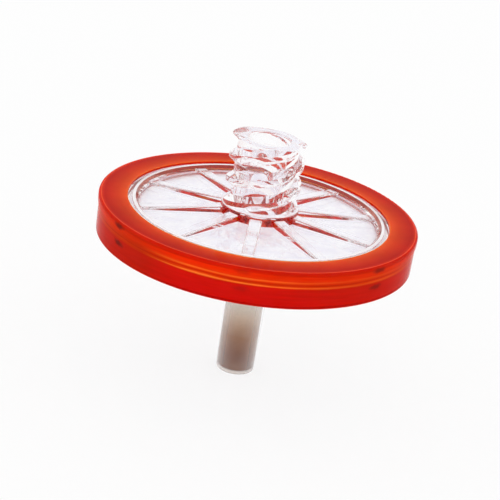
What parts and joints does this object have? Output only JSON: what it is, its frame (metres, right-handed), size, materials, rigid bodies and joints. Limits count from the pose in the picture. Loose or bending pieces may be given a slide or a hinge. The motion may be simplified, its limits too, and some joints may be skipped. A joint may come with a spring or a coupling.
{
  "type": "syringe filter",
  "caption": "Disc-shaped syringe filter with a threaded luer lock inlet above, a tapered luer slip outlet below, ribbed clear housing plates and a translucent red sealing ring.",
  "frame": {"origin": "centre of the inlet's mouth, on the port's flat top face", "axes": "+Z along the flow axis, out of the inlet towards the syringe; the outlet points along -Z; one rib of the plates lies along +Y"},
  "size_m": [0.033, 0.033, 0.0257],
  "materials": {
    "clear_housing": "clear moulded acrylic copolymer, polished",
    "red_ring": "translucent red overmoulded plastic, glossy",
    "filter_membrane": "white microporous membrane, matt"
  },
  "bodies": {
    "root": {"inlet_housing": "clear_housing", "outlet_housing": "clear_housing", "membrane": "filter_membrane", "overmould_ring": "red_ring"}
  },
  "joints": []
}
